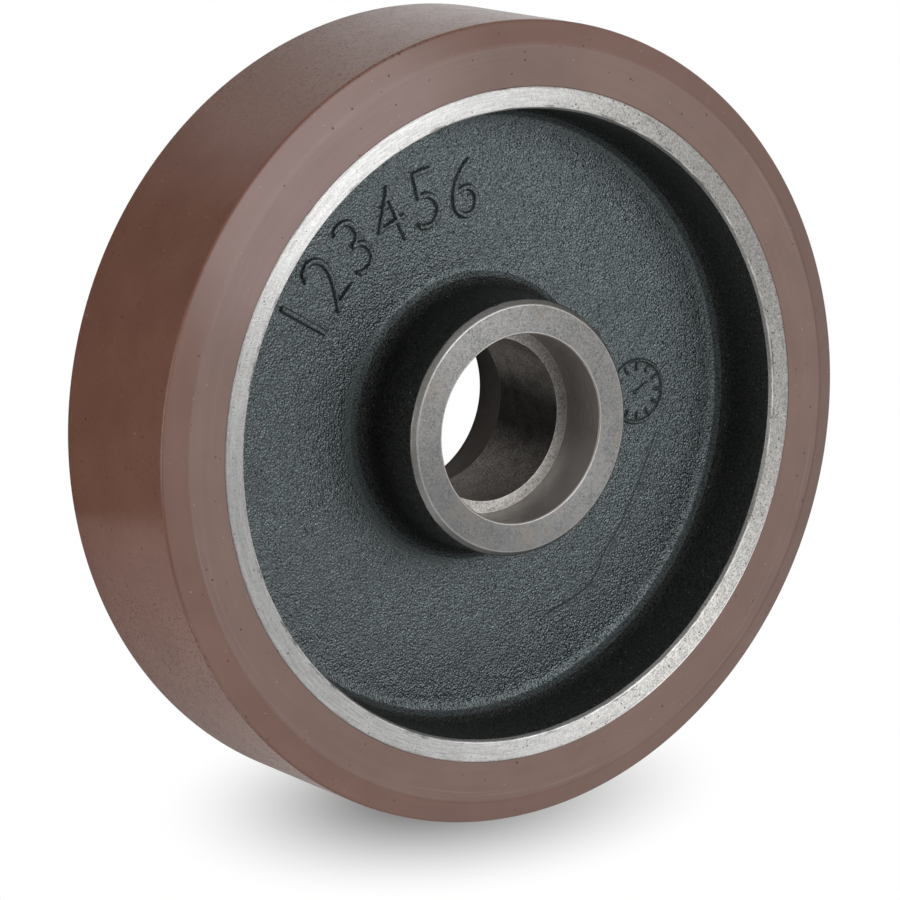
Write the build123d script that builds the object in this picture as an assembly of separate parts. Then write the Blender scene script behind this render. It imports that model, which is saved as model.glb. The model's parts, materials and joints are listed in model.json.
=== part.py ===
"""Polyurethane wheel for a castor: a grey iron core with a polyurethane tyre cast onto its rim.

The wheel lies on its side. Its axis is Z, the origin is its middle, and everything below the
XY plane is the mirror image of what is above it.
"""
import os
from math import radians, tan

from build123d import *

# Driving sizes, in millimetres, and one angle in degrees.
wheel_diameter = 200.0
wheel_width = 50.0

# The tyre stands this far above the rim. A bevel on each side takes the corner off the tread.
tyre_thickness = 16.0
tyre_bevel_height = 5.8
tyre_bevel_width = 2.7

# The rim is turned flat at each end, and a small bevel breaks its inner edge.
rim_wall = 5.7
rim_edge_bevel_height = 0.7
rim_edge_bevel_width = 1.6

# The web joins rim and hub at the wheel's middle. A reach is how far a soft root runs along each side,
# and each root is a run of short flats that bend round its corner.
web_thickness = 10.0
web_to_rim_reach = 5.0
web_to_hub_reach = 5.0
flats_per_root = 6
casting_draft = 2.5

# The hub is a little longer than the rim is wide, so the wheel runs against its fork on the hub.
hub_diameter = 64.0
hub_length = 53.0
hub_end_bevel = 1.3

# A bearing is pressed into each end of the hub, up to a shoulder.
bearing_diameter = 47.0
bearing_width = 14.0
shoulder_height = 3.0
seat_mouth_bevel = 0.3

# Sizes that follow from them.
wheel_radius = wheel_diameter / 2
half_width = wheel_width / 2
rim_radius = wheel_radius - tyre_thickness
web_top = web_thickness / 2
hub_radius = hub_diameter / 2
hub_end = hub_length / 2
seat_radius = bearing_diameter / 2
seat_floor = hub_end - bearing_width


def turned(corners, soft=None):
    """Turns a section about Z. Only its upper half is given, and the lower half mirrors it.

    Corners are (radius, height) pairs, in order round the half. A soft corner is a run of short
    flats, which leaves its two sides at the given reach before and after it.
    """
    soft = soft or {}
    with BuildPart() as piece:
        with BuildSketch(Plane.XZ):
            with BuildLine():
                pen = Vector(*corners[0])
                for corner, following in zip(corners[1:], corners[2:] + corners[:2]):
                    here = Vector(*corner)
                    stops = [here]
                    if corner in soft:
                        start = here + (pen - here).normalized() * soft[corner]
                        end = here + (Vector(*following) - here).normalized() * soft[corner]
                        shares = [step / flats_per_root for step in range(flats_per_root + 1)]
                        stops = [start * (1 - s) ** 2 + here * (2 * s * (1 - s)) + end * s**2 for s in shares]
                    for stop in stops:
                        Line(pen, stop)
                        pen = stop
                Line(pen, Vector(*corners[0]))
            make_face()
            mirror(about=Plane.XZ)
        revolve(axis=Axis.Z)
    return piece.part


def wheel_core():
    """The iron casting: rim, web and hub in one piece, bored from both ends for its bearings."""
    slope = tan(radians(casting_draft))

    # The rim's inside and the hub's outside both lean into the metal, so the mould could be drawn.
    dish_mouth = rim_radius - rim_wall, half_width - rim_edge_bevel_width
    rim_root = dish_mouth[0] - slope * (dish_mouth[1] - web_top), web_top
    hub_shoulder = hub_radius, hub_end - hub_end_bevel
    hub_root = hub_radius + slope * (hub_shoulder[1] - web_top), web_top

    bore_radius = seat_radius - shoulder_height
    bore_side = [
        (bore_radius, 0),
        (bore_radius, seat_floor),
        (seat_radius, seat_floor),
        (seat_radius, hub_end - seat_mouth_bevel),
        (seat_radius + seat_mouth_bevel, hub_end),
    ]
    dish = [
        (hub_radius - hub_end_bevel, hub_end),
        hub_shoulder,
        hub_root,
        rim_root,
        dish_mouth,
        (dish_mouth[0] + rim_edge_bevel_height, half_width),
    ]
    rim_side = [(rim_radius, half_width), (rim_radius, 0)]
    return turned(
        bore_side + dish + rim_side,
        soft={hub_root: web_to_hub_reach, rim_root: web_to_rim_reach},
    )


def tyre():
    """The polyurethane ring, bonded to the rim over its whole width, with both corners bevelled."""
    return turned([
        (rim_radius, 0),
        (rim_radius, half_width),
        (wheel_radius - tyre_bevel_height, half_width),
        (wheel_radius, half_width - tyre_bevel_width),
        (wheel_radius, 0),
    ])


os.makedirs("parts", exist_ok=True)
for name, piece in {"wheel_core": wheel_core(), "tyre": tyre()}.items():
    export_step(piece, f"parts/{name}.step")
    print(f"{name}: {piece.volume / 1000:.1f} cm3")
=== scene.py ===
# %% [markdown]
# # A polyurethane castor wheel
# The real thing is a heavy wheel for a trolley: an iron casting of rim, web and hub, dipped in dark
# lacquer, then turned bright where it has to be true, with a thick brown tyre cast onto its rim.
# The CAD model already has its sizes. This lesson dresses it: it turns a finer skin for each of the
# two pieces, presses the raised marks into the casting, and gives every surface its own finish.

# %% Load the frame
import json
from math import cos, pi, radians, sin, tan

import bmesh
import bpy
from mathutils import Matrix, Vector, noise
from mathutils.bvhtree import BVHTree


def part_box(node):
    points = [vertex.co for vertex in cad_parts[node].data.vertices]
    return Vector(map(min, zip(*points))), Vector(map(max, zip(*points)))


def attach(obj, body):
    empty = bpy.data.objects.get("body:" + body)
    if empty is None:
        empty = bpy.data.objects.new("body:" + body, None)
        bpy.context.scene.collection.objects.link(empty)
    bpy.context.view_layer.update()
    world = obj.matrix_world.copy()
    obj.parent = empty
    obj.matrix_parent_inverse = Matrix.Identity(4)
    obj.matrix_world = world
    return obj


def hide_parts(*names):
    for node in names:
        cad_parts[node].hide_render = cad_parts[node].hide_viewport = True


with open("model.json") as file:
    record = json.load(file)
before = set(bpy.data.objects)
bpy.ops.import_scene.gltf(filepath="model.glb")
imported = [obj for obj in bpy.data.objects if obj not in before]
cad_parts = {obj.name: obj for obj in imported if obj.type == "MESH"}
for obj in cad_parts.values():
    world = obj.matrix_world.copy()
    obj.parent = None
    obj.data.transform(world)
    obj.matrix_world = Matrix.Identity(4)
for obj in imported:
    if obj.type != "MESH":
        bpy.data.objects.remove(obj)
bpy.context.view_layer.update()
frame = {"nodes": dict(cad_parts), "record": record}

print("CAD nodes:", ", ".join(sorted(frame["nodes"])))

# %% [markdown]
# ## Sizes that come from the CAD model
# A skin that is drawn from its own numbers drifts away from the part it stands for. The wheel's main
# sizes are read from the frame instead: the box of each node, and the bores that the record states.

# %% Read the main sizes
mm = 0.001
tyre_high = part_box("tyre")[1]
core_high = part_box("wheel_core")[1]
bores = [mount for mount in frame["record"]["mounts"] if mount["kind"] == "bore"]
bore_radius = {bore["name"]: bore["dims"]["r_mm"] * mm for bore in bores}

wheel_radius = tyre_high.x
half_width = tyre_high.z
rim_radius = core_high.x
hub_end = core_high.z
seat_radius = bore_radius["bearing_seat_front"]
spacer_radius = bore_radius["spacer_bore"]
print(f"wheel {2 * wheel_radius / mm:.0f} mm across, hub {2 * hub_end / mm:.0f} mm long")

# %% [markdown]
# ## Turning a section
# Both pieces are bodies of revolution, so each starts as half a section: a flat outline of a few
# corners. Corners are rounded while the outline is still flat, where a bevel of vertices draws a true
# arc. The outline is then spun round Z. A lathe leaves nothing perfectly sharp, so even the crisp
# edges get a fraction of a millimetre, which is what catches a line of light.

# %% Helpers that spin an outline
steps_round = 360
same_place = 0.01 * mm
weld_distance = 0.001 * mm


def mirrored(half):
    """The whole outline from its upper half, which starts and ends at the wheel's middle plane."""
    return half + [(radius, -height) for radius, height in reversed(half)]


def spun(outline, rounds, rows):
    """A closed bmesh: an outline in XZ, its corners rounded and its long runs divided, spun round Z."""
    bm = bmesh.new()
    bm.faces.new([bm.verts.new((radius, 0, height)) for radius, height in outline])
    for reach, segments, corners in rounds:
        marks = [Vector((radius, 0, side * height)) for radius, height in corners for side in (1, -1)]
        picked = [v for v in bm.verts if any((v.co - mark).length < same_place for mark in marks)]
        bmesh.ops.bevel(bm, geom=picked, offset=reach, offset_type="OFFSET", segments=segments,
                        profile=0.5, affect="VERTICES", material=-1)
    bmesh.ops.delete(bm, geom=bm.faces[:], context="FACES_ONLY")
    for edge in bm.edges[:]:
        middle = (edge.verts[0].co + edge.verts[1].co) / 2
        cuts = int(edge.calc_length() / rows(middle.x, middle.z))
        if cuts:
            bmesh.ops.subdivide_edges(bm, edges=[edge], cuts=cuts)
    bmesh.ops.spin(bm, geom=bm.verts[:] + bm.edges[:], cent=(0, 0, 0), axis=(0, 0, 1),
                   angle=2 * pi, steps=steps_round, use_merge=True, use_duplicate=False)
    bmesh.ops.remove_doubles(bm, verts=bm.verts[:], dist=weld_distance)
    bmesh.ops.recalc_face_normals(bm, faces=bm.faces[:])
    return bm


# %% [markdown]
# ## The casting's outline
# The iron core is one casting. From the axis outwards its section runs up the rough middle bore, over
# the shoulder, along the bearing seat, over the turned hub end, down the hub's drafted wall, across
# the web and up the rim's drafted wall to the turned ring. The two roots beside the web are large and
# soft, because sharp ones would crack in the mould.

# %% Draw the casting
seat_depth = 14.0 * mm
mouth_bevel = 0.3 * mm
hub_radius = 32.0 * mm
hub_bevel = 1.3 * mm
web_top = 5.0 * mm
draft = tan(radians(2.5))
rim_wall = 5.7 * mm
ring_bevel_height = 1.6 * mm
ring_bevel_width = 0.7 * mm
hub_root_reach = 5.0 * mm
rim_root_reach = 5.0 * mm

seat_floor = hub_end - seat_depth
dish_mouth = rim_radius - rim_wall
ring_inner = dish_mouth + ring_bevel_width
hub_shoulder = hub_end - hub_bevel
hub_foot = hub_radius + draft * (hub_shoulder - web_top)
rim_foot = dish_mouth - draft * (half_width - ring_bevel_height - web_top)

casting_half = [
    (spacer_radius, seat_floor),
    (seat_radius, seat_floor),
    (seat_radius, hub_end - mouth_bevel),
    (seat_radius + mouth_bevel, hub_end),
    (hub_radius - hub_bevel, hub_end),
    (hub_radius, hub_shoulder),
    (hub_foot, web_top),
    (rim_foot, web_top),
    (dish_mouth, half_width - ring_bevel_height),
    (ring_inner, half_width),
    (rim_radius, half_width),
]
worn_edge, faced_edge, bored_edge = 0.45 * mm, 0.22 * mm, 0.10 * mm
# Each round has a reach, a number of segments, and the corners that get it.
casting_rounds = [
    (hub_root_reach, 10, [(hub_foot, web_top)]),
    (rim_root_reach, 9, [(rim_foot, web_top)]),
    (worn_edge, 4, [(hub_radius, hub_shoulder), (dish_mouth, half_width - ring_bevel_height)]),
    (faced_edge, 3, [(hub_radius - hub_bevel, hub_end), (ring_inner, half_width),
                     (rim_radius, half_width)]),
    (bored_edge, 3, [(spacer_radius, seat_floor), (seat_radius + mouth_bevel, hub_end),
                     (seat_radius, hub_end - mouth_bevel)]),
]
web_row, plain_row = 1.0 * mm, 2.5 * mm
near = 0.1 * mm


def casting_rows(radius, height):
    """How long a run may stay: short on the front web for its marks, and whole under the tyre."""
    if radius > rim_radius - near:
        return half_width
    on_front_web = height > 0 and hub_foot < radius < rim_foot
    return web_row if on_front_web else plain_row


casting = spun(mirrored(casting_half), casting_rounds, casting_rows)
print(f"casting: {len(casting.faces)} faces before the marks go in")

# %% [markdown]
# ## Raised marks
# A pattern maker presses letters and rings onto the wooden pattern, and the iron takes them over with
# soft feet. The same idea works on a mesh: flat stamps are laid under the web, the web's faces near
# them are divided finely, and each vertex rises by how near it is to a stamp. The numbers are plain,
# one to six, in the thin strokes that such patterns have.

# %% Helpers that make a stamp
stamps = {}


def stamp(name, parts):
    """Joins flat meshes into one stamp, and forgets them."""
    together = bmesh.new()
    for part in parts:
        together.from_mesh(part)
        bpy.data.meshes.remove(part)
    stamps[name] = together


def placed(mesh, angle, radius, scale_x=1.0):
    """Turns a flat mesh so that its Y points away from the axis, and moves it out to its radius."""
    turn = Matrix.Rotation(radians(angle - 90), 4, "Z")
    out = Matrix.Translation((0, radius, 0))
    mesh.transform(turn @ out @ Matrix.Diagonal((scale_x, 1, 1, 1)))
    return mesh


def flattened(curve):
    """The flat mesh that a text or a curve fills. The curve itself isn't kept."""
    carrier = bpy.data.objects.new(curve.name, curve)
    bpy.context.scene.collection.objects.link(carrier)
    bpy.context.view_layer.update()
    evaluated = carrier.evaluated_get(bpy.context.evaluated_depsgraph_get())
    mesh = bpy.data.meshes.new_from_object(evaluated)
    bpy.data.objects.remove(carrier)
    bpy.data.curves.remove(curve)
    return mesh


# %% Stamps: the numbers
number_count = 6
number_height = 16.6 * mm
number_foot = 49.6 * mm
number_narrowed = 0.90
number_pitch = 11.5
first_number_angle = 259.3
stroke_thinned = 0.64 * mm
digit_share_of_size = 0.73


def numeral(digit, angle):
    """A flat thin-stroked numeral, standing on the circle that carries the numbers."""
    text = bpy.data.curves.new("numeral", "FONT")
    text.body = digit
    text.size = number_height / digit_share_of_size
    text.align_x = "CENTER"
    text.offset = -stroke_thinned
    return placed(flattened(text), angle, number_foot, number_narrowed)


number_angles = [first_number_angle - count * number_pitch for count in range(number_count)]
stamp("numbers", [numeral(str(digit), angle) for digit, angle in enumerate(number_angles, 1)])
number_top = number_foot + number_height
print(f"numbers stand from {number_foot / mm:.1f} to {number_top / mm:.1f} mm")

# %% Stamps: the dial beside the hub
dial_angle = 110.0
dial_radius = 50.5 * mm
dial_size = 8.1 * mm
dial_sides = 48
hoop_inner_share = 0.975
tick_width, tick_length, tick_start = 0.15 * mm, 1.1 * mm, dial_size - 2.4 * mm
pointer_width, pointer_length, pointer_start = 0.3 * mm, 4.2 * mm, -0.6 * mm
hour = 30


def bar(width, length):
    """A flat bar that stands on its lower end."""
    bm = bmesh.new()
    bmesh.ops.create_grid(bm, x_segments=1, y_segments=1, size=0.5)
    stretched = Matrix.Diagonal((width, length, 1, 1)) @ Matrix.Translation((0, 0.5, 0))
    bmesh.ops.transform(bm, matrix=stretched, verts=bm.verts[:])
    mesh = bpy.data.meshes.new("bar")
    bm.to_mesh(mesh)
    bm.free()
    return mesh


def at_dial(mesh, turn, out=0.0):
    """Puts a mesh on the dial, turned about the dial's own centre."""
    mesh.transform(Matrix.Rotation(radians(turn), 4, "Z") @ Matrix.Translation((0, out, 0)))
    return placed(mesh, dial_angle, dial_radius)


hoop = bmesh.new()
bmesh.ops.create_circle(hoop, segments=dial_sides, radius=dial_size)
bmesh.ops.extrude_edge_only(hoop, edges=hoop.edges[:])
for v in hoop.verts[:dial_sides]:
    v.co *= hoop_inner_share
hoop_mesh = bpy.data.meshes.new("dial_hoop")
hoop.to_mesh(hoop_mesh)
hoop.free()
dial_parts = [at_dial(hoop_mesh, 0)]
dial_parts += [at_dial(bar(tick_width, tick_length), count * hour, tick_start) for count in range(12)]
dial_parts += [at_dial(bar(pointer_width, pointer_length), hour, pointer_start)]
print(f"dial: {len(dial_parts)} flat parts, {2 * dial_size / mm:.1f} mm across")
stamp("dial", dial_parts)

# %% Stamps: the faint seam across the web
seam_points = [(42, 59), (54, 61.3), (60, 60), (66, 57.2), (72, 57.6), (84, 57.2), (98, 58.2)]
seam = bpy.data.curves.new("seam", "CURVE")
seam.resolution_u = 24
seam.extrude = 0.02 * mm
seam_line = seam.splines.new("NURBS")
seam_line.points.add(len(seam_points) - 1)
for point, (angle, radius) in zip(seam_line.points, seam_points):
    point.co = (radius * mm * cos(radians(angle)), radius * mm * sin(radians(angle)), 0, 1)
seam_line.order_u = 3
seam_line.use_endpoint_u = True
stamp("seam", [flattened(seam)])
print("stamps:", ", ".join(f"{name} {len(flat.faces)} faces" for name, flat in stamps.items()))

# %% Press the stamps into the web
# Each mark has a height, the width of its soft foot, and how many cuts divide a face near it. The
# seam is a groove, so its height is below zero.
reliefs = {
    "numbers": (0.95 * mm, 0.46 * mm, 4),
    "dial": (0.85 * mm, 0.50 * mm, 4),
    "seam": (-0.24 * mm, 0.70 * mm, 2),
}
divided_reach = 1.2 * mm
crease_shade_middle = 0.8
level_within = 0.02 * mm
# Each vertex near a mark's foot keeps a share of painted shade for the crease there, darkest near the
# outer end of the foot.
crease_shade = casting.verts.layers.float.new("crease_shade")
trees = {name: BVHTree.FromBMesh(flat) for name, flat in stamps.items()}


def near_stamp(name, spot, reach):
    """True where the stamp is within reach of a spot on the web."""
    return trees[name].find_nearest(Vector((spot.x, spot.y, 0)), reach)[0] is not None


def on_front_web(co):
    """True on the flat of the front web."""
    return abs(co.z - web_top) < level_within and hub_foot < Vector((co.x, co.y)).length < rim_foot


for name, (_, _, cuts) in reliefs.items():
    marked = {f for f in casting.faces if on_front_web(f.calc_center_median())
              and near_stamp(name, f.calc_center_median(), divided_reach)}
    edges = [e for e in casting.edges if any(f in marked for f in e.link_faces)]
    bmesh.ops.subdivide_edges(casting, edges=edges, cuts=cuts, use_grid_fill=True)

for v in casting.verts:
    if on_front_web(v.co):
        rise = 0.0
        for name, (height, foot, _) in reliefs.items():
            found = trees[name].find_nearest(Vector((v.co.x, v.co.y, 0)), 2 * crease_shade_middle * foot)
            if found[0] is not None:
                share_off = found[3] / foot
                share = max(0.0, 1 - share_off)
                rise += height * share * share * (3 - 2 * share)
                v[crease_shade] = max(v[crease_shade], 1 - abs(share_off - crease_shade_middle) / crease_shade_middle)
        v.co.z += rise
print(f"casting: {len(casting.faces)} faces with its marks")

# %% [markdown]
# ## The casting's skin
# Sand casting leaves a wall that is never quite round or flat. A slow noise moves the lacquered skin
# and the drilled bore by a tenth of a millimetre or so. It moves the mouth of the dish as well, so the
# line where the turned ring meets the lacquer wanders as it does on the real wheel. Turned faces stay
# true.

# %% Let the cast skin wander, and sort the faces by finish
WEB, ROOT, WALL, RING, HUB_FACE, SEAT, ROUGH = range(7)
ring_lip_radius = ring_inner - 0.6 * ring_bevel_width
ring_lip_height = half_width - 0.8 * ring_bevel_height
mouth_radius = seat_radius + mouth_bevel
web_inner, web_outer = hub_foot + 3.6 * mm, rim_foot - 2.2 * mm
root_inner, root_outer = hub_foot + 1.9 * mm, rim_foot - 1.3 * mm


def finish_at(spot):
    """The finish of the face whose middle is at this spot."""
    radius, height = Vector((spot.x, spot.y)).length, abs(spot.z)
    if radius > ring_lip_radius and height > ring_lip_height or radius > rim_radius - near:
        return RING
    if height > hub_shoulder and radius > mouth_radius:
        return HUB_FACE
    if radius < mouth_radius + same_place and height > seat_floor + near / 2:
        return SEAT
    if radius < seat_radius and height > seat_floor - 1.5 * near:
        return HUB_FACE
    if radius < spacer_radius + near:
        return ROUGH
    if web_inner < radius < web_outer:
        return WEB
    return ROOT if root_inner < radius < root_outer else WALL


def waved(spot, waves):
    """How far slow and quick waves lift a spot of rough skin."""
    return sum(noise.noise(spot * fineness) * lift for fineness, lift in waves)


skin_waves = [(90, 0.10 * mm), (420, 0.07 * mm)]
drilled_waves = [(260, 0.12 * mm)]
for face in casting.faces:
    face.material_index = finish_at(face.calc_center_median())

for v in casting.verts:
    if any(f.material_index in (WEB, ROOT, WALL) for f in v.link_faces):
        v.co += v.normal * waved(v.co, skin_waves)
    elif all(f.material_index == ROUGH for f in v.link_faces):
        v.co += v.normal * waved(v.co, drilled_waves)
counts = [sum(f.material_index == kind for f in casting.faces) for kind in range(ROUGH + 1)]
print("faces by finish (web, root, walls, ring, hub face, seat, rough):", counts)

# %% [markdown]
# ## Wiring materials
# Every finish is a network of shader nodes. Written out socket by socket, a network hides what it
# does, so a few helpers add a node and wire it in one line. A plain value sets a socket, and
# another node's output is linked to it.

# %% Helpers that add and wire nodes
def connect(tree, socket, value):
    """Links a socket to another node's output, or sets it to a value."""
    if isinstance(value, bpy.types.NodeSocket):
        tree.links.new(value, socket)
    elif socket.type == "RGBA":
        socket.default_value = (*value, 1)
    else:
        socket.default_value = value


def node(tree, kind, settings=None, **inputs):
    """Adds a shader node. Its inputs go by name, with underscores for spaces."""
    made = tree.nodes.new("ShaderNode" + kind)
    for key, value in (settings or {}).items():
        setattr(made, key, value)
    for key, value in inputs.items():
        connect(tree, made.inputs[key.replace("_", " ")], value)
    return made


# %% Helpers that reckon
def math(tree, operation, *values):
    """A Math node's result."""
    made = node(tree, "Math", {"operation": operation})
    for socket, value in zip(made.inputs, values):
        connect(tree, socket, value)
    return made.outputs[0]


def product(tree, first, *others):
    """Masks and numbers multiplied together."""
    for other in others:
        first = math(tree, "MULTIPLY", first, other)
    return first


def vector_math(tree, operation, *values):
    """A Vector Math node's result, which is a number for a length or distance."""
    made = node(tree, "VectorMath", {"operation": operation})
    for socket, value in zip(made.inputs, values):
        connect(tree, socket, value)
    return made.outputs["Value" if operation in ("LENGTH", "DISTANCE") else "Vector"]


def faded(tree, value, low, high, start=0.0, end=1.0):
    """Runs smoothly from start to end while the value goes from low to high."""
    return node(tree, "MapRange", {"interpolation_type": "SMOOTHSTEP"}, Value=value, From_Min=low,
                From_Max=high, To_Min=start, To_Max=end).outputs[0]


# %% Helpers for colour and relief
def blended(tree, share, first, second):
    """The first colour, with a share of the second laid over it."""
    made = node(tree, "Mix", {"data_type": "RGBA"})
    for socket, value in zip((made.inputs[0], made.inputs[6], made.inputs[7]), (share, first, second)):
        connect(tree, socket, value)
    return made.outputs[2]


def laid_over(tree, base, mask, strength, color):
    """The base with another colour over it where a mask says, never stronger than the strength."""
    return blended(tree, product(tree, mask, strength), base, color)


def bumped(tree, height, distance, below=None):
    """A normal that a height disturbs, on top of the normal below it where one is given."""
    made = node(tree, "Bump", Height=height, Distance=distance)
    if below is not None:
        connect(tree, made.inputs["Normal"], below)
    return made.outputs[0]


# %% Helpers that start and end a material
def material(name):
    """A material with no nodes yet, its tree, and the place on the object that its patterns read."""
    made = bpy.data.materials.new(name)
    made.use_nodes = True
    made.node_tree.nodes.clear()
    return made, made.node_tree, node(made.node_tree, "TexCoord").outputs["Object"]


def shaded(finish, **inputs):
    """Ends a material with a Principled shader."""
    tree = finish.node_tree
    shader = node(tree, "BsdfPrincipled", **inputs)
    node(tree, "OutputMaterial", Surface=shader.outputs[0])
    print(f"{finish.name}: {len(tree.nodes)} nodes")


# %% [markdown]
# ## Effects that several finishes share
# A lathe's lines, pits, patches and grain turn up on more than one surface of this wheel, each time at
# another size. Copies of the same nodes would drift apart, so each effect is a node group, built once
# and placed in a material with its own values. Sizes are in metres.

# %% Helpers that start and place a node group
def node_group(name, inputs, outputs):
    """Returns a new group's tree, what comes in, and where results go out. None means a vector."""
    tree = bpy.data.node_groups.new(name, "ShaderNodeTree")
    for label, value in inputs.items():
        kind = "NodeSocketVector" if value is None else "NodeSocketFloat"
        socket = tree.interface.new_socket(label, in_out="INPUT", socket_type=kind)
        if value is not None:
            socket.default_value = value
    for label in outputs:
        tree.interface.new_socket(label, in_out="OUTPUT", socket_type="NodeSocketFloat")
    print(f"{name}: from {', '.join(inputs)} to {', '.join(outputs)}")
    return tree, tree.nodes.new("NodeGroupInput").outputs, tree.nodes.new("NodeGroupOutput").inputs


def use(tree, group, **inputs):
    """Places a node group in a material and returns its outputs."""
    return node(tree, "Group", {"node_tree": group}, **inputs).outputs


def pattern(tree, group, here, **inputs):
    """Places a group that has one output, such as a mask, and returns that output."""
    return use(tree, group, Position=here, **inputs)[0]


# %% Round places: how far a spot is from the axis, and from the middle plane
def outwards(tree, here):
    """The direction straight away from the axis."""
    return vector_math(tree, "NORMALIZE", vector_math(tree, "MULTIPLY", here, (1, 1, 0)))


round_place, given, result = node_group("round_place", {"Position": None}, ["Radius", "Height"])
flat = vector_math(round_place, "MULTIPLY", given["Position"], (1, 1, 0))
connect(round_place, result["Radius"], vector_math(round_place, "LENGTH", flat))
upward = node(round_place, "SeparateXYZ", Vector=given["Position"]).outputs["Z"]
connect(round_place, result["Height"], math(round_place, "ABSOLUTE", upward))

# %% Turning lines: noise that is stretched round the axis
turning_lines, given, result = node_group(
    "turning_lines", {"Position": None, "Pitch": 0.5 * mm, "Breaks": 4.0}, ["Lines"])
breaks = node(turning_lines, "CombineXYZ", X=given["Breaks"], Y=given["Breaks"]).outputs[0]
around = vector_math(turning_lines, "MULTIPLY", outwards(turning_lines, given["Position"]), breaks)
place = use(turning_lines, round_place, Position=given["Position"])
across = math(turning_lines, "ADD", place["Radius"], place["Height"])
across = math(turning_lines, "DIVIDE", across, given["Pitch"])
across = node(turning_lines, "CombineXYZ", Z=across).outputs[0]
stretched = vector_math(turning_lines, "ADD", around, across)
streaks = node(turning_lines, "TexNoise", Vector=stretched, Scale=1.0, Detail=3.0, Roughness=0.6)
connect(turning_lines, result["Lines"], faded(turning_lines, streaks.outputs[0], 0.3, 0.7))

# %% Specks: small round dots of different sizes, for pits, grit and dust
specks, given, result = node_group(
    "specks", {"Position": None, "Size": 1.0 * mm, "Share": 0.1, "Dot": 0.3}, ["Mask"])
fineness = math(specks, "DIVIDE", 1.0, given["Size"])
cells = node(specks, "TexVoronoi", Vector=given["Position"], Scale=fineness)
chance = node(specks, "SeparateColor", Color=cells.outputs["Color"]).outputs
picked = math(specks, "LESS_THAN", chance["Red"], given["Share"])
dot_radius = product(specks, math(specks, "MULTIPLY_ADD", chance["Green"], 0.6, 0.4), given["Dot"])
share_off = math(specks, "DIVIDE", cells.outputs["Distance"], dot_radius)
connect(specks, result["Mask"], product(specks, picked, faded(specks, share_off, 1.1, 0.7)))

# %% Patches: soft clouds that come and go
patches, given, result = node_group(
    "patches", {"Position": None, "Size": 5.0 * mm, "Low": 0.4, "High": 0.6}, ["Mask"])
fineness = math(patches, "DIVIDE", 1.0, given["Size"])
cloud = node(patches, "TexNoise", Vector=given["Position"], Scale=fineness, Detail=3.0, Roughness=0.55)
connect(patches, result["Mask"], faded(patches, cloud.outputs[0], given["Low"], given["High"]))

# %% Grain: the leathery relief of a cast skin
grain, given, result = node_group("grain", {"Position": None, "Size": 0.5 * mm}, ["Height"])
fineness = math(grain, "DIVIDE", 1.0, given["Size"])
folds = node(grain, "TexNoise", Vector=given["Position"], Scale=fineness, Detail=1.0, Roughness=0.5)
cells = node(grain, "TexVoronoi", Vector=given["Position"], Scale=fineness, Randomness=1.0)
dome = math(grain, "SUBTRACT", 1.0, math(grain, "POWER", cells.outputs["Distance"], 2.0))
relief = math(grain, "MULTIPLY_ADD", folds.outputs[0], 0.9, product(grain, dome, 0.5))
connect(grain, result["Height"], relief)

# %% Crystals: the patchwork of greys that cut iron shows
crystals, given, result = node_group("crystals", {"Position": None, "Size": 0.5 * mm}, ["Tone"])
fineness = math(crystals, "DIVIDE", 1.0, given["Size"])
cells = node(crystals, "TexVoronoi", Vector=given["Position"], Scale=fineness)
facet = node(crystals, "SeparateColor", Color=cells.outputs["Color"]).outputs["Red"]
haze = node(crystals, "TexNoise", Vector=given["Position"], Scale=fineness, Detail=2.0).outputs[0]
haze = product(crystals, faded(crystals, haze, 0.35, 0.65), 0.5)
connect(crystals, result["Tone"], math(crystals, "MULTIPLY_ADD", facet, 0.5, haze))

# %% Ragged band: a line along an edge, with a worn outline
ragged_band, given, result = node_group("ragged_band", {
    "Position": None, "Value": 0.0, "Middle": 0.0, "Width": 0.5 * mm, "Wander": 0.3 * mm}, ["Mask"])
wear = node(ragged_band, "TexNoise", Vector=given["Position"], Scale=0.9 / mm, Detail=3.0,
            Roughness=0.6)
worn = math(ragged_band, "SUBTRACT", wear.outputs[0], 0.5)
shifted = math(ragged_band, "MULTIPLY_ADD", worn, given["Wander"], given["Value"])
off = math(ragged_band, "ABSOLUTE", math(ragged_band, "SUBTRACT", shifted, given["Middle"]))
share_off = math(ragged_band, "DIVIDE", off, given["Width"])
connect(ragged_band, result["Mask"], faded(ragged_band, share_off, 0.5, 0.35))


def edge_line(tree, here, value, middle, width, wander):
    """A ragged line, where a radius or a height passes its middle value."""
    return pattern(tree, ragged_band, here, Value=value, Middle=middle, Width=width, Wander=wander)
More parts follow.
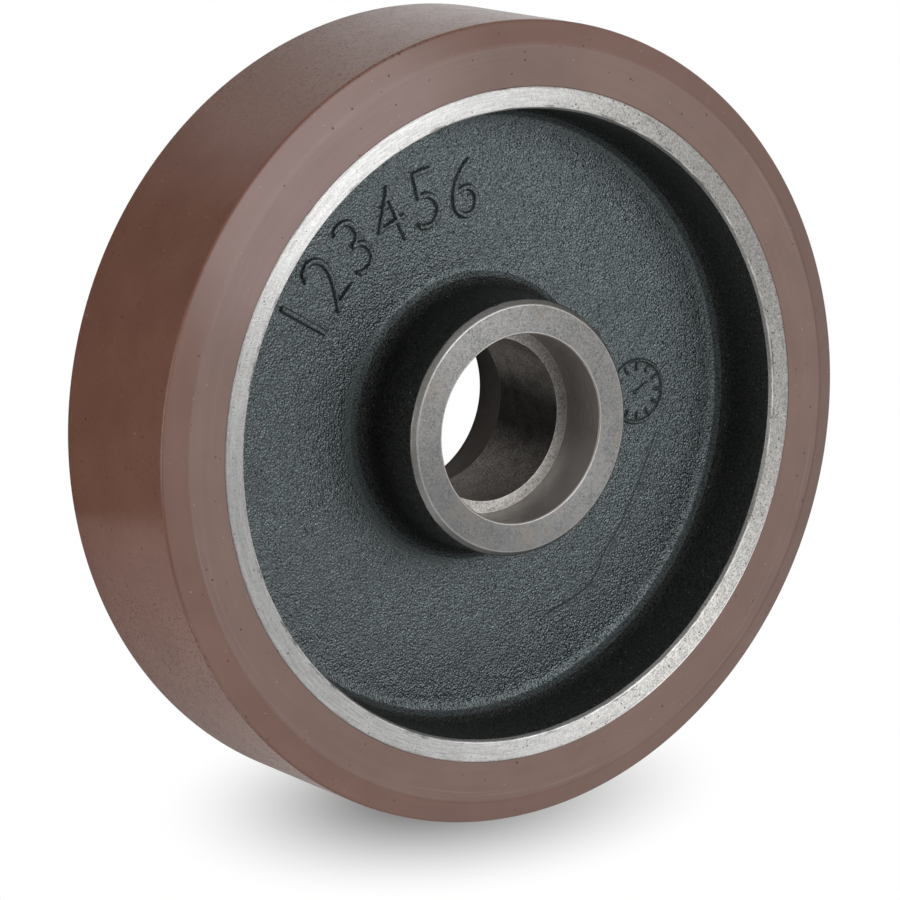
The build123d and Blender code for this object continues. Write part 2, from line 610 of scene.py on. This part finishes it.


# %% [markdown]
# ## The lacquered skin
# The casting was dipped in thin grey-green lacquer. It lies over the sand's grain, so the skin looks
# like fine leather: dark where you look into it, with many small glints where it mirrors the light.
# A bump of grain gives the glints, and a slower one makes the sheen wander. A roughness map alone
# would only blur the reflection, without its sparkle. The same lacquer is mixed three times, for the
# open web, the roots and the steep walls. The roots and walls get darker tops and a lower index of
# refraction, so they mirror less: painted shade for the deep parts of the dish. The lacquer is also
# darker towards one side, and darker still near the hub's root on that side, where it is rougher too;
# that is painted shade as well.

# %% Dark lacquer for the web, the roots and the steep walls
def lacquered(name, tops, ior, dullest, dusty, side_shade):
    """The lacquer's material. Tops colours the grain's tops, and ior sets how much it mirrors.

    The last value sets how strongly one side is darkened, most near the hub's root: painted shade.
    """
    finish, tree, here = material(name)
    hollows, grit, painted_crease_shade = (0.004, 0.0042, 0.004), (0.16, 0.17, 0.16), (0.001, 0.001, 0.001)
    skin = pattern(tree, grain, here, Size=0.54 * mm)
    across = node(tree, "SeparateXYZ", Vector=here).outputs
    # Painted shade: the grain's tops get darker towards one side.
    toward_shade = math(tree, "MULTIPLY_ADD", across["Y"], -0.8, product(tree, across["X"], 0.6))
    lighter_tops, darker_tops = [[(1 + change * side_shade) * level for level in tops] for change in (0.55, -0.45)]
    tops = blended(tree, faded(tree, toward_shade, -0.07, 0.07), lighter_tops, darker_tops)
    color = blended(tree, faded(tree, skin, 0.60, 1.0), hollows, tops)
    dust = pattern(tree, specks, here, Size=1.1 * mm, Share=dusty, Dot=0.22)
    color = laid_over(tree, color, dust, 0.6, grit)
    foot = node(tree, "Attribute", {"attribute_name": "crease_shade"}).outputs["Fac"]
    # Painted shade darkens the crease along each mark's foot.
    color = laid_over(tree, color, foot, 0.9, painted_crease_shade)
    radius = use(tree, round_place, Position=here)["Radius"]
    # Painted shade: near the hub's root, on that side, the lacquer is darker still, and rougher.
    painted_side = product(tree, faded(tree, toward_shade, 0.0, 0.03), side_shade)
    hub_root_shade = product(tree, faded(tree, radius, hub_foot + 11 * mm, hub_foot + 2 * mm), painted_side)
    color = laid_over(tree, color, hub_root_shade, 0.85, hollows)
    in_rim_root = faded(tree, radius, rim_foot - 3.2 * mm, rim_foot - 1.9 * mm)
    in_hub_root = product(tree, faded(tree, radius, hub_foot + 8 * mm, hub_foot + 4 * mm), painted_side)
    in_root = math(tree, "MAXIMUM", in_rim_root, in_hub_root)
    dull = math(tree, "MAXIMUM", product(tree, foot, 0.9), product(tree, in_root, 0.62))
    cloud = pattern(tree, patches, here, Size=9 * mm, Low=0.35, High=0.65)
    sheen = faded(tree, cloud, 0.0, 1.0, dullest - 0.08, dullest)
    lumps = pattern(tree, patches, here, Size=3.5 * mm, Low=0.2, High=0.8)
    lumpy = bumped(tree, lumps, 0.10 * mm)
    shaded(finish, Base_Color=color, IOR=ior, Specular_Tint=(0.82, 0.96, 1.0),
           Roughness=math(tree, "MAXIMUM", sheen, dull), Normal=bumped(tree, skin, 0.30 * mm, lumpy))
    return finish


# The root and wall copies mirror less and have darker tops: painted shade for the dish's steep parts.
web_lacquer = lacquered("web_lacquer", (0.033, 0.040, 0.041), 1.70, 0.38, dusty=0.12, side_shade=1.0)
shaded_root_lacquer = lacquered("shaded_root_lacquer", (0.027, 0.031, 0.031), 1.45, 0.44, dusty=0.20, side_shade=0.7)
shaded_wall_lacquer = lacquered("shaded_wall_lacquer", (0.023, 0.024, 0.021), 1.28, 0.50, dusty=0.35, side_shade=0.0)

# %% [markdown]
# ## Turned iron
# The rim's ring and the hub's end are faced on a lathe. The tool leaves fine grooves round the axis,
# which smear a reflection outwards: the ring is bright on two opposite sides and darker between them,
# as on the bottom of a pan. That is anisotropy, with the radius as its tangent. On one side of the
# ring the tool tore the iron instead of slicing it, and there its crystals show as a patchwork of
# greys, with black pits in rows and a faint stain. Along the ring's edges lie ragged lines: dull where
# dirt or lacquer ends there, and pale ones that are painted highlights, where an edge would catch the
# light.

# %% Turned ring: sliced iron and torn iron
ring_iron, tree, here = material("turned_ring")
sliced_dark, sliced_light, smeared = (0.28, 0.281, 0.282), (0.43, 0.431, 0.432), (0.48, 0.481, 0.482)
torn_dark, torn_light = (0.205, 0.197, 0.183), (0.50, 0.488, 0.464)
lines = pattern(tree, turning_lines, here, Pitch=0.30 * mm, Breaks=14.0)
smears = pattern(tree, turning_lines, here, Pitch=1.6 * mm, Breaks=3.0)
sliced = blended(tree, lines, sliced_dark, sliced_light)
sliced = laid_over(tree, sliced, faded(tree, smears, 0.45, 1.0), 0.4, smeared)
sand = pattern(tree, crystals, here, Size=0.46 * mm)
across = node(tree, "SeparateXYZ", Vector=here).outputs
drift = pattern(tree, patches, here, Size=40 * mm, Low=0.3, High=0.7)
to_torn_side = math(tree, "MULTIPLY_ADD", across["X"], -0.35, across["Y"])
to_torn_side = math(tree, "MULTIPLY_ADD", drift, 0.03, to_torn_side)
torn = faded(tree, to_torn_side, 0.005, 0.065, 0.3, 0.85)
color = blended(tree, torn, sliced, blended(tree, sand, torn_dark, torn_light))
print(f"{ring_iron.name} as cut: {len(tree.nodes)} nodes")

# %% Turned ring: pits, scratches and a stain
pit_black, scratch_grey = (0.03, 0.028, 0.025), (0.06, 0.06, 0.058)
stain_middle, stain_brown = (-0.070, 0.042, half_width), (0.15, 0.145, 0.135)
rows = pattern(tree, turning_lines, here, Pitch=0.9 * mm, Breaks=30.0)
pitted = product(tree, faded(tree, torn, 0.3, 0.85, 0.06, 0.75), faded(tree, rows, 0.30, 0.70))
pits = pattern(tree, specks, here, Size=0.72 * mm, Share=pitted, Dot=0.42)
color = laid_over(tree, color, pits, 0.8, pit_black)
radius = use(tree, round_place, Position=here)["Radius"]
drag = pattern(tree, turning_lines, here, Pitch=0.5 * mm, Breaks=9.0)
scratched = pattern(tree, patches, here, Size=9 * mm, Low=0.5, High=0.62)
outer = faded(tree, radius, ring_inner + 1.5 * mm, rim_radius)
scratches = product(tree, faded(tree, drag, 0.72, 1.0), outer, scratched)
color = laid_over(tree, color, scratches, 0.7, scratch_grey)
off_stain = vector_math(tree, "DISTANCE", here, stain_middle)
color = laid_over(tree, color, faded(tree, off_stain, 0.050, 0.010), 0.3, stain_brown)
print(f"{ring_iron.name} with its flaws: {len(tree.nodes)} nodes")

# %% Turned ring: its edges
here_and_there = pattern(tree, patches, here, Size=7 * mm, Low=0.52, High=0.66)
edge_highlight_spots = pattern(tree, patches, here, Size=12 * mm, Low=0.42, High=0.56)
painted_side = product(tree, faded(tree, torn, 0.4, 0.8), faded(tree, across["X"], -0.01, 0.03))
# The pale lines along the ring's inner and outer edges are painted highlights.
for middle, width, wander, where, strength, tint in (
        (dish_mouth, 1.4 * mm, 0.9 * mm, 1.0, 0.65, (0.15, 0.147, 0.141)),
        (ring_inner + 0.2 * mm, 0.8 * mm, 1.2 * mm, here_and_there, 0.6, (0.05, 0.051, 0.05)),
        (ring_inner, 0.35 * mm, 0.2 * mm, edge_highlight_spots, 0.5, (0.78, 0.78, 0.77)),
        (rim_radius, 0.9 * mm, 0.8 * mm, 1.0, 0.35, (0.12, 0.09, 0.08)),
        (rim_radius - 0.2 * mm, 0.45 * mm, 0.15 * mm, painted_side, 0.5, (0.80, 0.79, 0.77))):
    band = edge_line(tree, here, radius, middle, width, wander)
    color = laid_over(tree, color, product(tree, band, where), strength, tint)
shaded(ring_iron, Base_Color=color, Metallic=1.0, Roughness=faded(tree, torn, 0.3, 0.85, 0.42, 0.48),
       Anisotropic=0.8, Tangent=outwards(tree, here),
       Normal=bumped(tree, sand, 0.018 * mm, bumped(tree, lines, 0.006 * mm)))

# %% Turned end of the hub
hub_iron, tree, here = material("turned_hub")
radius = use(tree, round_place, Position=here)["Radius"]
sand = pattern(tree, crystals, here, Size=0.44 * mm)
mottled = pattern(tree, patches, here, Size=4 * mm, Low=0.35, High=0.7)
face_dark, face_light, mottle = (0.096, 0.095, 0.093), (0.228, 0.227, 0.225), (0.228, 0.222, 0.213)
low_face_shade, rust, pit_black = (0.084, 0.090, 0.092), (0.22, 0.19, 0.16), (0.05, 0.047, 0.042)
shoulder_dark, shoulder_light = (0.23, 0.217, 0.204), (0.54, 0.525, 0.50)
face_color = blended(tree, sand, face_dark, face_light)
face_color = laid_over(tree, face_color, mottled, 0.4, mottle)
# Painted shade: the face is darker and cooler towards its lower side, +X.
shaded_low_face = faded(tree, node(tree, "SeparateXYZ", Vector=here).outputs["X"], 0.0, hub_radius)
face_color = laid_over(tree, face_color, shaded_low_face, 0.5, low_face_shade)
shoulder_color = blended(tree, sand, shoulder_dark, shoulder_light)
on_end = faded(tree, radius, seat_radius, mouth_radius)
color = blended(tree, on_end, shoulder_color, face_color)
stained = pattern(tree, patches, here, Size=7 * mm, Low=0.50, High=0.68)
color = laid_over(tree, color, stained, 0.3, rust)
pits = pattern(tree, specks, here, Size=0.8 * mm, Share=0.22, Dot=0.28)
color = laid_over(tree, color, pits, 0.7, pit_black)
# The dark band is the ragged end of the lacquer at the chamfer. The two pale lines are painted
# highlights on the chamfer's edge and the seat's mouth.
for middle, width, wander, strength, tint in (
        (hub_radius, 2.6 * mm, 0.5 * mm, 0.6, (0.10, 0.098, 0.092)),
        (hub_radius - hub_bevel, 0.45 * mm, 0.15 * mm, 0.25, (0.60, 0.60, 0.58)),
        (seat_radius + 0.5 * mouth_bevel, 0.8 * mm, 0.1 * mm, 0.4, (0.60, 0.59, 0.57))):
    band = edge_line(tree, here, radius, middle, width, wander)
    color = laid_over(tree, color, band, strength, tint)
shaded(hub_iron, Base_Color=color, Metallic=1.0, Roughness=faded(tree, stained, 0.0, 1.0, 0.44, 0.54),
       Anisotropic=0.4, Tangent=outwards(tree, here), Normal=bumped(tree, sand, 0.018 * mm))

# %% [markdown]
# ## The bore
# The bearing seats are bored to size and left with a film of oil, so they are smooth, brown-grey and
# duller than the faced ends. A painted highlight brightens one side of the front seat, and painted
# shade darkens the back seat. The bore between them is only as the drill left it: dark, rusty and
# granular, with a painted black streak of shade along one side. A bored seat shows no mirror image
# here, so part of its colour is plain diffuse.

# %% Bored seat
seat_iron, tree, here = material("bored_seat")
lines = pattern(tree, turning_lines, here, Pitch=0.4 * mm, Breaks=8.0)
groove, land, pit_black = (0.165, 0.145, 0.132), (0.215, 0.195, 0.180), (0.04, 0.034, 0.03)
shaded_side, painted_glow = (0.055, 0.048, 0.040), (0.42, 0.405, 0.395)
painted_glow_middle = (0.0100, 0.0213, 0.0195)
color = blended(tree, lines, groove, land)
pits = pattern(tree, specks, here, Size=1.0 * mm, Share=0.10, Dot=0.25)
color = laid_over(tree, color, pits, 0.7, pit_black)
depth = node(tree, "SeparateXYZ", Vector=here).outputs["Z"]
color = laid_over(tree, color, faded(tree, depth, 0.0, -seat_floor), 0.40, shaded_side)
# Painted highlight: a pale patch on one side of the front seat.
off_painted_glow = vector_math(tree, "DISTANCE", here, painted_glow_middle)
color = laid_over(tree, color, faded(tree, off_painted_glow, 16 * mm, 4 * mm), 0.5, painted_glow)
shaded(seat_iron, Base_Color=color, Metallic=0.55, Roughness=faded(tree, lines, 0.0, 1.0, 0.46, 0.38),
       Normal=bumped(tree, lines, 0.008 * mm))

# %% Rough bore
rough_iron, tree, here = material("rough_bore")
skin = pattern(tree, grain, here, Size=0.45 * mm)
drilled_dark, drilled_light = (0.27, 0.248, 0.225), (0.62, 0.580, 0.540)
rust, painted_bore_shade = (0.30, 0.25, 0.21), (0.008, 0.006, 0.005)
bore_shade_line = (-4.5 * mm, spacer_radius, 0)
color = blended(tree, faded(tree, skin, 0.62, 1.0), drilled_dark, drilled_light)
rusty = pattern(tree, patches, here, Size=4 * mm, Low=0.4, High=0.7)
color = laid_over(tree, color, rusty, 0.3, rust)
# Painted shade: a dark streak along one side of the bore.
lengthwise = vector_math(tree, "MULTIPLY", here, (1, 1, 0.25))
off_bore_shade = vector_math(tree, "DISTANCE", lengthwise, bore_shade_line)
bore_shade_share = faded(tree, math(tree, "MULTIPLY_ADD", rusty, -1.0 * mm, off_bore_shade), 18 * mm, 3 * mm)
color = laid_over(tree, color, bore_shade_share, 0.93, painted_bore_shade)
shaded(rough_iron, Base_Color=color, Metallic=0.95, Roughness=faded(tree, rusty, 0.0, 1.0, 0.40, 0.52),
       Normal=bumped(tree, skin, 0.035 * mm))

# %% [markdown]
# ## From a skin to a piece
# A spun skin has to look round on its rounds and flat on its faces. So every face is shaded smooth,
# the sharpest edges stay sharp, and weighted normals let a large flat face decide how the small rounds
# beside it turn the light. The piece then rides on the wheel's body and stands for one CAD node.

# %% Finish the casting
sharp_angle = radians(48)
flat_weight = 50


def finished(bm, name, node, finishes):
    """Makes the bmesh a piece that stands for a CAD node, with smooth shading that keeps flats flat."""
    for face in bm.faces:
        face.smooth = True
    mesh = bpy.data.meshes.new(name)
    bm.to_mesh(mesh)
    bm.free()
    mesh.set_sharp_from_angle(angle=sharp_angle)
    for finish in finishes:
        mesh.materials.append(finish)
    piece = bpy.data.objects.new(name, mesh)
    bpy.context.scene.collection.objects.link(piece)
    flats = piece.modifiers.new("flats_stay_flat", "WEIGHTED_NORMAL")
    flats.weight = flat_weight
    flats.keep_sharp = True
    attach(piece, "root")
    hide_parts(node)
    print(f"{name}: {len(mesh.polygons)} faces")


casting_finishes = [web_lacquer, shaded_root_lacquer, shaded_wall_lacquer, ring_iron, hub_iron, seat_iron, rough_iron]
finished(casting, "core_casting", "wheel_core", casting_finishes)

# %% [markdown]
# ## The tyre
# The tyre is cast onto the rim and then turned, so its section is a plain block with a bevel at each
# side of the tread.

# %% Turn the tyre
tread_bevel_height = 5.8 * mm
tread_bevel_width = 2.7 * mm
bevel_start = half_width - tread_bevel_width
bevel_end = wheel_radius - tread_bevel_height
tyre_half = [(wheel_radius, bevel_start), (bevel_end, half_width), (rim_radius, half_width)]
tyre_rounds = [
    (0.7 * mm, 5, [(wheel_radius, bevel_start)]),
    (0.8 * mm, 5, [(bevel_end, half_width)]),
    (0.25 * mm, 3, [(rim_radius, half_width)]),
]
tyre = spun(mirrored(tyre_half), tyre_rounds, lambda radius, height: plain_row)
print(f"tyre: {len(tyre.faces)} faces")

# %% [markdown]
# ## Polyurethane
# The tread comes smooth out of its mould, deep brown and well polished. The sides are faced off on
# the lathe together with the ring, and a cut surface is duller and scatters more light, so the same
# plastic is paler and greyer there; part of that paleness is a painted sheen. The sides have a few
# hairlines that the tool left. A painted highlight lies near the bevel on one side, painted shade
# darkens the bevel on another, and the corner line is painted paler on one side and darker on the
# other. Seen along its surface the tread mirrors the floor, which is Fresnel's doing and needs no
# extra colour. Bubbles that the lathe cut open are black pits, pressed in as well as darkened.

# %% Polyurethane: moulded tread, cut sides
polyurethane, tree, here = material("brown_polyurethane")
place = use(tree, round_place, Position=here)
along = node(tree, "SeparateXYZ", Vector=here).outputs
cloud = pattern(tree, patches, here, Size=16 * mm, Low=0.3, High=0.7)
tread_dark, tread_light = (0.126, 0.056, 0.038), (0.142, 0.066, 0.046)
side_dark, side_light = (0.176, 0.114, 0.098), (0.195, 0.129, 0.111)
bevel_shade_brown, highlight_grey = (0.090, 0.048, 0.038), (0.30, 0.22, 0.21)
highlight_middle = (-0.045, -0.078, half_width)
tread_color = blended(tree, cloud, tread_dark, tread_light)
side_color = blended(tree, cloud, side_dark, side_light)
cut = faded(tree, place["Height"], bevel_start - 0.1 * mm, bevel_start + 0.4 * mm)
faced = faded(tree, place["Radius"], bevel_end, bevel_end - 0.5 * mm)
# The paler sides are partly the cut finish and partly a painted sheen.
cut_and_sheen = product(tree, cut, faded(tree, faced, 0.0, 1.0, 0.62, 1.0))
color = blended(tree, cut_and_sheen, tread_color, side_color)
on_bevel = product(tree, cut, math(tree, "SUBTRACT", 1.0, faced))
# Painted shade: the bevel is darker on one side.
bevel_shade = product(tree, on_bevel, faded(tree, along["Y"], 0.0, 0.06), faded(tree, along["X"], 0.05, 0.0))
color = laid_over(tree, color, bevel_shade, 0.4, bevel_shade_brown)
# Painted highlight: a pale patch near the bevel on one side.
off_highlight = vector_math(tree, "DISTANCE", here, highlight_middle)
painted_highlight = product(tree, cut, faded(tree, off_highlight, 0.056, 0.026))
color = laid_over(tree, color, painted_highlight, 0.55, highlight_grey)
print(f"{polyurethane.name}, tread and sides: {len(tree.nodes)} nodes")

# %% Polyurethane: corners, hairlines, pits and dust
corner_lit, corner_shaded = (0.18, 0.078, 0.052), (0.045, 0.022, 0.016)
hair_pale, drawn_brown, dust_pale = (0.28, 0.22, 0.20), (0.10, 0.055, 0.045), (0.50, 0.45, 0.42)
pit_black, pore_black = (0.03, 0.016, 0.012), (0.035, 0.020, 0.016)
# Painted light and shade: the corner line is paler on one side and darker on the other.
corner = edge_line(tree, here, place["Height"], bevel_start, 0.42 * mm, 0.25 * mm)
corner_color = blended(tree, faded(tree, along["X"], 0.0, 0.05), corner_lit, corner_shaded)
color = laid_over(tree, color, corner, 0.25, corner_color)
lines = pattern(tree, turning_lines, here, Pitch=0.45 * mm, Breaks=1.6)
near_bevel = faded(tree, place["Radius"], wheel_radius - 12 * mm, wheel_radius - 7 * mm)
hairs = product(tree, faded(tree, lines, 0.8, 1.0), near_bevel, faced)
color = laid_over(tree, color, hairs, 0.4, hair_pale)
drawn = pattern(tree, turning_lines, here, Pitch=1.6 * mm, Breaks=3.0)
color = laid_over(tree, color, product(tree, drawn, cut), 0.10, drawn_brown)
pits = pattern(tree, specks, here, Size=2.0 * mm, Share=0.20, Dot=0.16)
color = laid_over(tree, color, pits, 0.65, pit_black)
sanded = math(tree, "MULTIPLY_ADD", cloud, 0.02, math(tree, "ABSOLUTE", along["X"]))
sanded = product(tree, faded(tree, sanded, 0.060, 0.085), math(tree, "SUBTRACT", 1.0, cut))
pores = pattern(tree, specks, here, Size=0.75 * mm, Share=0.62, Dot=0.42)
color = laid_over(tree, color, product(tree, pores, sanded), 0.8, pore_black)
elsewhere = vector_math(tree, "ADD", here, (0.5, 0.2, 0.1))
dust = pattern(tree, specks, elsewhere, Size=2.0 * mm, Share=0.25, Dot=0.10)
color = laid_over(tree, color, dust, 0.5, dust_pale)
print(f"{polyurethane.name} with its marks: {len(tree.nodes)} nodes")

# %% Polyurethane: relief and polish
skin = pattern(tree, grain, here, Size=0.55 * mm)
waves = pattern(tree, patches, here, Size=6 * mm, Low=0.2, High=0.8)
open_pores = math(tree, "MAXIMUM", pits, product(tree, pores, sanded, 0.8))
dented = bumped(tree, open_pores, -0.15 * mm)
wavy = bumped(tree, waves, 0.018 * mm, dented)
polish = faded(tree, cut, 0.0, 1.0, 0.24, 0.40)
polish = math(tree, "MULTIPLY_ADD", waves, 0.06, polish)
shaded(polyurethane, Base_Color=color, IOR=1.3, Roughness=polish,
       Normal=bumped(tree, skin, 0.02 * mm, wavy))
finished(tyre, "tyre_ring", "tyre", [polyurethane])

# %% [markdown]
# ## Camera
# The camera looks down on the lying wheel from the side and is rolled over, so that the picture shows
# it the way the eye expects a wheel: standing, with its face turned a little to the right.

# %% Camera
camera_data = bpy.data.cameras.new("camera")
camera_data.sensor_width = 36
camera_data.lens = 183.218
camera = bpy.data.objects.new("camera", camera_data)
bpy.context.scene.collection.objects.link(camera)
camera.location = (0, -0.66725, 0.92945)
camera_target = Vector((0.00972, -0.01803, 0.025))
camera_roll = radians(106.559)
unrolled = (camera_target - camera.location).to_track_quat("-Z", "Y").to_matrix()
camera.rotation_euler = (unrolled @ Matrix.Rotation(camera_roll, 3, "Z")).to_euler()
bpy.context.scene.camera = camera
print("camera is", round((camera_target - camera.location).length, 3), "m away")

# %% [markdown]
# ## Light
# The picture's light is soft and comes from high above. A key lamp gives it, and a panel beside it is
# what the flat faces mirror. Two fills near the floor reach the tread, which the key only grazes. A
# lamp is sized by its radiance, which is how bright a mirror would show it, so its size can change
# without a change in what metal reflects.

# %% Lamps
lamp_distance = 1.8


def softbox(name, direction, width, height, radiance):
    """An area lamp that faces the wheel."""
    lamp = bpy.data.lights.new(name, "AREA")
    lamp.shape = "RECTANGLE"
    lamp.size, lamp.size_y = width, height
    lamp.energy = radiance * pi * width * height
    box = bpy.data.objects.new(name, lamp)
    bpy.context.scene.collection.objects.link(box)
    box.location = Vector(direction).normalized() * lamp_distance
    box.rotation_euler = (-Vector(direction)).to_track_quat("-Z", "Y").to_euler()
    print(f"{name}: {lamp.energy:.1f} W")


softbox("key_above", (-0.32, -0.08, 0.95), 1.0, 1.0, 4.3)
softbox("panel_behind", (-0.32, 0.34, 0.88), 0.8, 0.8, 4.5)
softbox("fill_left", (0.33, -0.94, 0.12), 1.0, 0.5, 7.0)
softbox("fill_low", (0.95, -0.25, 0.12), 1.0, 0.5, 5.0)

# %% [markdown]
# ## World
# The picture's ground is pure white, which the world gives to the camera alone. As light it is much
# weaker, or it would wash out the lamps. A studio also has black cards just out of the picture,
# because a smooth thing gets its form from what it mirrors. Here two cards are painted for mirror
# rays alone: one overhead in the world, which keeps the lacquer deep, and one on the floor.

# %% White surroundings
def seen_directly(tree):
    """1 for a ray from the camera or through a clear thing, and 1 for a mirror ray."""
    rays = node(tree, "LightPath").outputs
    looked_at = math(tree, "MAXIMUM", rays["Is Camera Ray"], rays["Is Transmission Ray"])
    return looked_at, rays["Is Glossy Ray"]


scene = bpy.context.scene
scene.view_settings.view_transform = "Standard"
world_level = 0.35
overhead_card = Vector((0.20, -0.15, 0.97)).normalized()
world = bpy.data.worlds.new("studio")
scene.world = world
world.use_nodes = True
tree = world.node_tree
tree.nodes.clear()
looked_at, mirrored_ray = seen_directly(tree)
direction = vector_math(tree, "NORMALIZE", node(tree, "TexCoord").outputs["Generated"])
off_card = vector_math(tree, "DISTANCE", direction, overhead_card)
mirrored_level = faded(tree, off_card, 0.22, 0.60, 0.2, 1.0)
mirrored_more = math(tree, "SUBTRACT", mirrored_level, world_level)
level = math(tree, "MULTIPLY_ADD", mirrored_more, mirrored_ray, world_level)
background = node(tree, "Background", Color=(1, 1, 1), Strength=math(tree, "MAXIMUM", looked_at, level))
node(tree, "OutputWorld", Surface=background.outputs[0])
print("world level as light:", world_level)

# %% [markdown]
# ## Floor
# A floor that is bright enough to clip to white would throw too much light back at the wheel. So the
# floor is plain paper for the light, and the camera sees it white. Only close to the wheel and in a
# long soft zone on one side does the camera see the paper itself, with the wheel's real shadow on it;
# there it is shown greyer than it lights, a painted shadow that deepens the real one. Under the bore
# the paper is darkened for light as well, which is painted shade. For mirror rays a dark card lies in
# front of the wheel, and its crisp end shows on the tread.

# %% Paper floor
floor_round = bmesh.new()
bmesh.ops.create_circle(floor_round, cap_ends=True, segments=96, radius=4.0,
                        matrix=Matrix.Translation((0, 0, -hub_end - 0.02 * mm)))
floor_mesh = bpy.data.meshes.new("floor")
floor_round.to_mesh(floor_mesh)
floor_round.free()
floor = bpy.data.objects.new("floor", floor_mesh)
scene.collection.objects.link(floor)
print("floor lies at", round(-hub_end / mm, 2), "mm")

# %% What the camera sees of the paper
paper_finish, tree, here = material("white_paper")
looked_at, mirrored_ray = seen_directly(tree)
shadow_middle = (0.0976, 0.050, -hub_end)
shadow_turn = radians(103)
shadow_stretch = 3.37
under_wheel = (0.002, 0.016, -hub_end)
from_shadow = node(tree, "Mapping", {"vector_type": "TEXTURE"}, Vector=here, Location=shadow_middle,
                   Rotation=(0, 0, shadow_turn), Scale=(shadow_stretch, 1, 1)).outputs[0]
off_shadow = faded(tree, vector_math(tree, "LENGTH", from_shadow), 0.001, 0.0275)
off_wheel = faded(tree, vector_math(tree, "DISTANCE", here, under_wheel), 0.084, 0.102)
off_axis = use(tree, round_place, Position=here)["Radius"]
in_bore = faded(tree, off_axis, 0.026, seat_radius)
clear_view = math(tree, "MAXIMUM", product(tree, off_shadow, off_wheel), in_bore)
clear_view = product(tree, clear_view, looked_at)
print("shadow zone's middle, mm:", [round(x / mm, 1) for x in shadow_middle])

# %% What a mirror sees of the paper
card_middle = (-0.005, -0.165, -hub_end)
along = node(tree, "SeparateXYZ", Vector=here).outputs["X"]
# For mirror rays only, a faint white glow on the +X side: a painted reflection for the tread.
glimmer = faded(tree, along, 0.055, 0.075, 0.0, 0.15)
beyond_card = math(tree, "MAXIMUM", glimmer, faded(tree, along, -0.075, -0.105))
clear_mirror = math(tree, "MAXIMUM", faded(tree, off_axis, 0.20, 0.40), beyond_card)
clear_mirror = product(tree, clear_mirror, mirrored_ray)
card_fade = faded(tree, along, -0.03, 0.02, 0.055, 0.094)
on_card = faded(tree, vector_math(tree, "DISTANCE", here, card_middle), 0.098, card_fade)
# Under the bore the paper is darkened for light too: painted shade.
on_card = math(tree, "MAXIMUM", product(tree, on_card, mirrored_ray), product(tree, in_bore, 0.4))
print("dark card's middle, mm:", [round(x / mm, 1) for x in card_middle])

# %% Put the paper together
# In the shadow zone the camera sees paper greyer than the lit paper: a painted shadow.
lit_paper, painted_shadow_paper, black_card = (0.86, 0.86, 0.86), (0.315, 0.315, 0.315), (0.08, 0.08, 0.08)
shade = blended(tree, on_card, blended(tree, looked_at, lit_paper, painted_shadow_paper), black_card)
paper = node(tree, "BsdfDiffuse", Color=shade)
white = node(tree, "Emission", Color=(1, 1, 1), Strength=1.0)
both = node(tree, "MixShader", Fac=math(tree, "MAXIMUM", clear_view, clear_mirror))
connect(tree, both.inputs[1], paper.outputs[0])
connect(tree, both.inputs[2], white.outputs[0])
node(tree, "OutputMaterial", Surface=both.outputs[0])
floor_mesh.materials.append(paper_finish)
print(f"{paper_finish.name}: {len(tree.nodes)} nodes")
